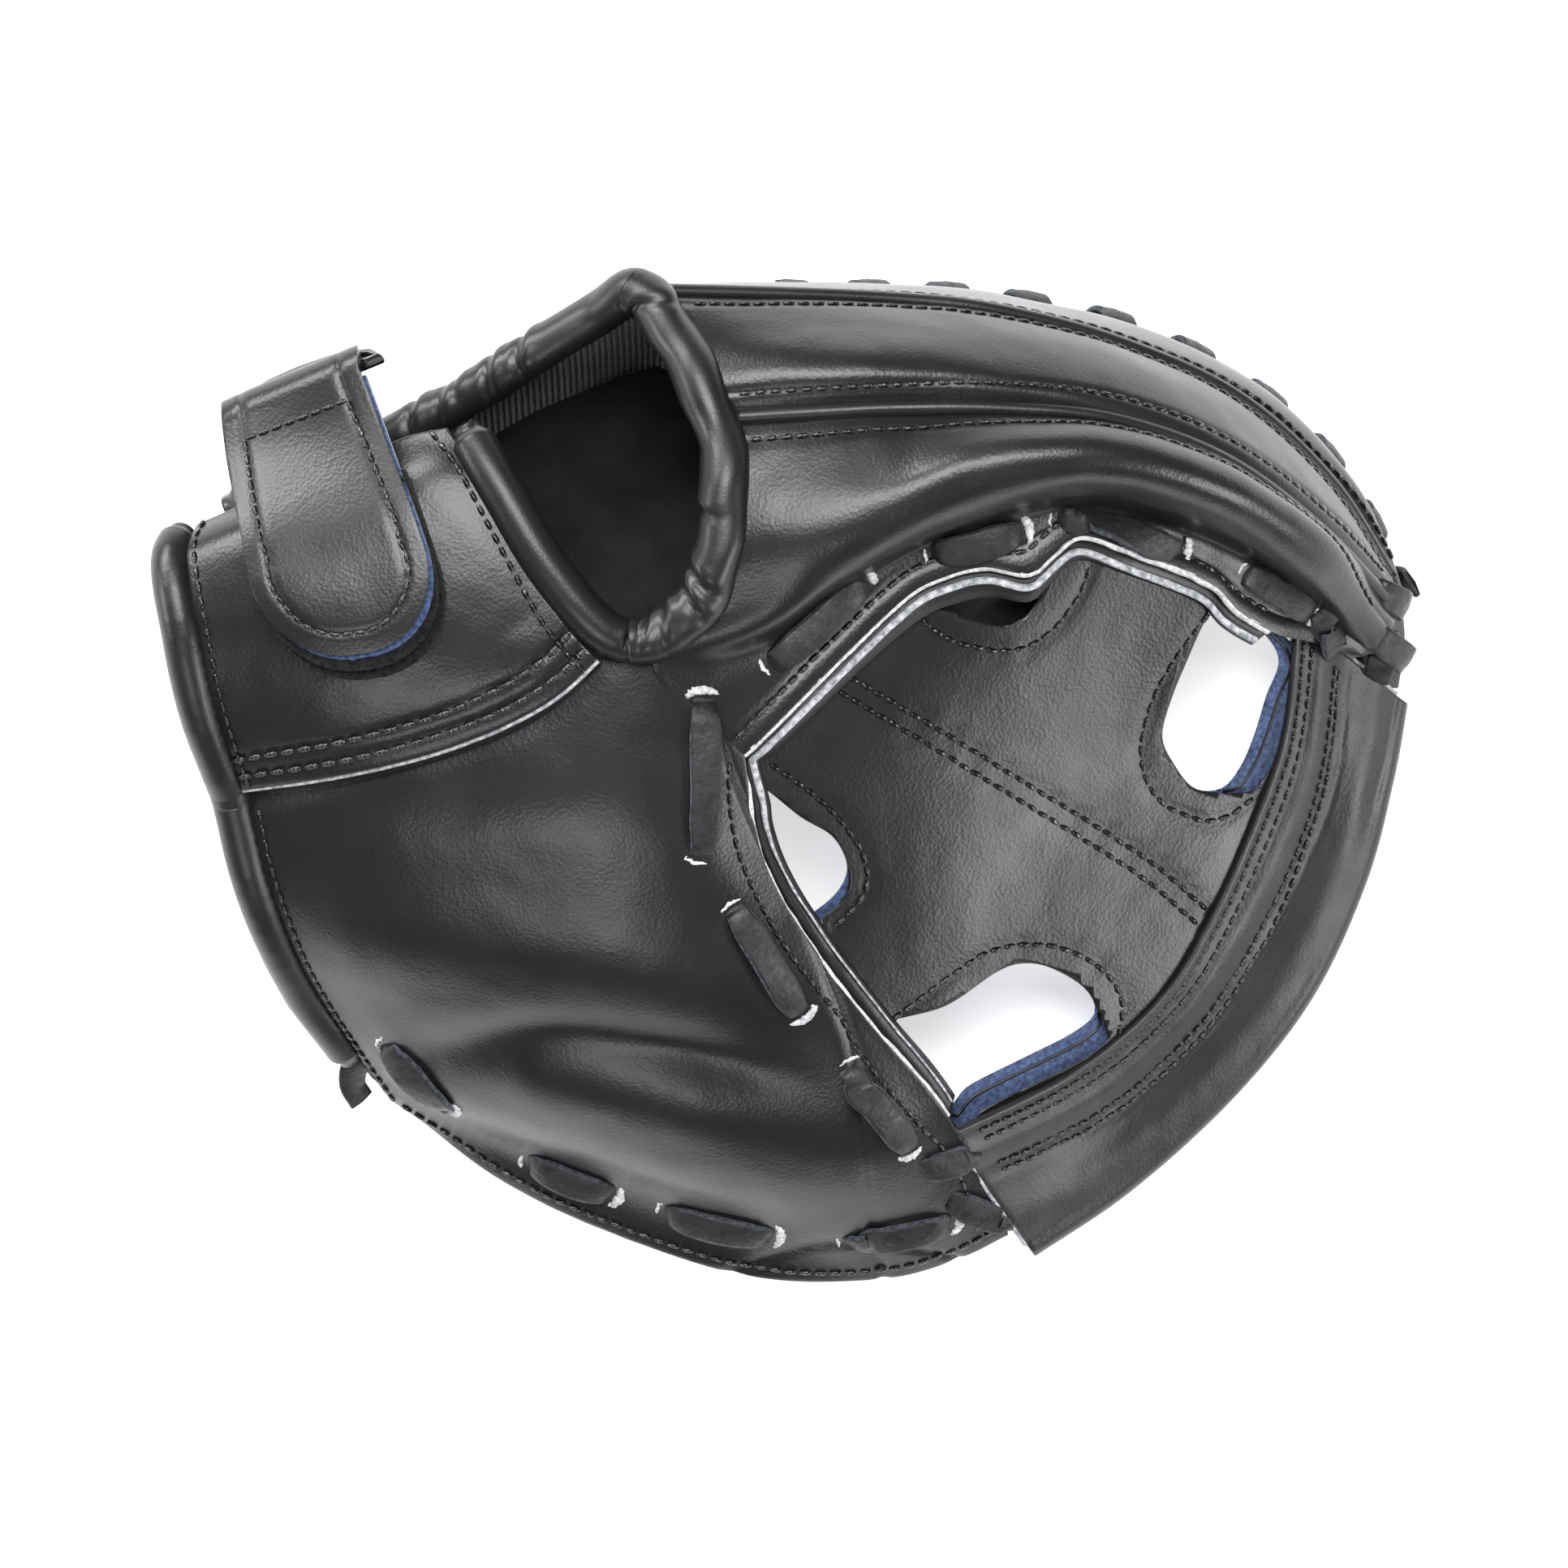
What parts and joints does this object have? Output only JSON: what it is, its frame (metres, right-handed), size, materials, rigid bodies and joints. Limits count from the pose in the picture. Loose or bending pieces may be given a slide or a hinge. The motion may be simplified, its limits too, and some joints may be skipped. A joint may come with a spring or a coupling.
{
  "type": "catcher's mitt",
  "caption": "Black leather catcher's mitt for the left hand with an open-hole web behind a laced bar, thick palm padding, bound back opening and a pull strap through a D-ring.",
  "frame": {"origin": "the middle of the mitt's footprint, on the surface that it lies on, palm down", "axes": "+X from the wrist to the finger tips, +Y from the thumb to the little finger, +Z from the pocket up to the back of the hand"},
  "size_m": [0.3126, 0.2498, 0.1127],
  "materials": {
    "black_leather": "smooth black cowhide with a fine pebble grain and a soft satin sheen",
    "lace_leather": "matte black rawhide lace with blue-grey cut edges",
    "lining_cloth": "black ribbed mesh and soft lining",
    "pad_felt": "pressed wool felt padding",
    "blue_suede": "napped blue suede flesh side",
    "hook_tape": "fuzzy black hook and loop tape",
    "black_metal": "black enamelled steel wire"
  },
  "bodies": {
    "finger_half": {"palm_shell_finger_side": "black_leather", "palm_pad_finger_side": "pad_felt", "palm_lining_finger_side": "lining_cloth", "wrist_strap_panel": "black_leather", "index_back_shell": "black_leather", "middle_back_shell": "black_leather", "outer_finger_back_shell": "black_leather", "little_finger_heel_wall": "black_leather", "index_finger_pad": "pad_felt", "index_finger_lining": "lining_cloth", "middle_finger_lining": "lining_cloth", "heel_wall_lining": "lining_cloth", "finger_welt_1": "black_leather", "finger_welt_2": "black_leather", "wrist_binding_strap_side": "black_leather", "opening_binding_strap_side": "black_leather", "opening_binding_finger_side": "black_leather", "opening_binding_heel_side": "black_leather", "web_back_ply": "black_leather", "web_front_ply": "blue_suede", "web_bar": "black_leather", "web_bar_core": "pad_felt", "crotch_lace_finger_side": "lace_leather", "finger_rim_lace": "lace_leather", "web_tie_thumb_inner": "lace_leather", "web_tie_thumb_outer": "lace_leather", "web_tie_finger_inner": "lace_leather", "loop_patch": "hook_tape", "strap_run": "black_leather", "ring_tab": "black_leather", "little_finger_loop": "black_leather"},
    "thumb_half": {"thumb_back_shell": "black_leather", "thumb_pad": "pad_felt", "thumb_back_lining": "lining_cloth", "palm_shell_thumb_side": "black_leather", "palm_pad_thumb_side": "pad_felt", "palm_lining_thumb_side": "lining_cloth", "wrist_binding_thumb_side": "black_leather", "crotch_lace_thumb_side": "lace_leather", "thumb_rim_lace": "lace_leather", "thumb_loop": "black_leather"},
    "pull_strap_body": {"pull_strap": "black_leather", "hook_patch": "hook_tape"},
    "d_ring_body": {"d_ring": "black_metal"}
  },
  "joints": [
    {"name": "mitt_close", "type": "hinge", "parent": "finger_half", "child": "thumb_half", "pos_m": [-0.0023, 0.0048, 0.0236], "axis": [1, 0, 0], "range_deg": [0, 20], "deforming": ["web_back_ply", "web_front_ply", "web_bar", "web_bar_core", "crotch_lace_finger_side", "web_tie_thumb_inner", "web_tie_thumb_outer", "web_tie_finger_inner"]},
    {"name": "strap_peel", "type": "hinge", "parent": "finger_half", "child": "pull_strap_body", "pos_m": [-0.1418, 0.0873, 0.0878], "axis": [-0.9102, -0.3552, -0.2131], "range_deg": [0, 135]},
    {"name": "ring_swing", "type": "hinge", "parent": "finger_half", "child": "d_ring_body", "pos_m": [-0.1418, 0.0873, 0.0878], "axis": [-0.9102, -0.3552, -0.2131], "range_deg": [-6, 25], "deforming": ["ring_tab"]}
  ]
}
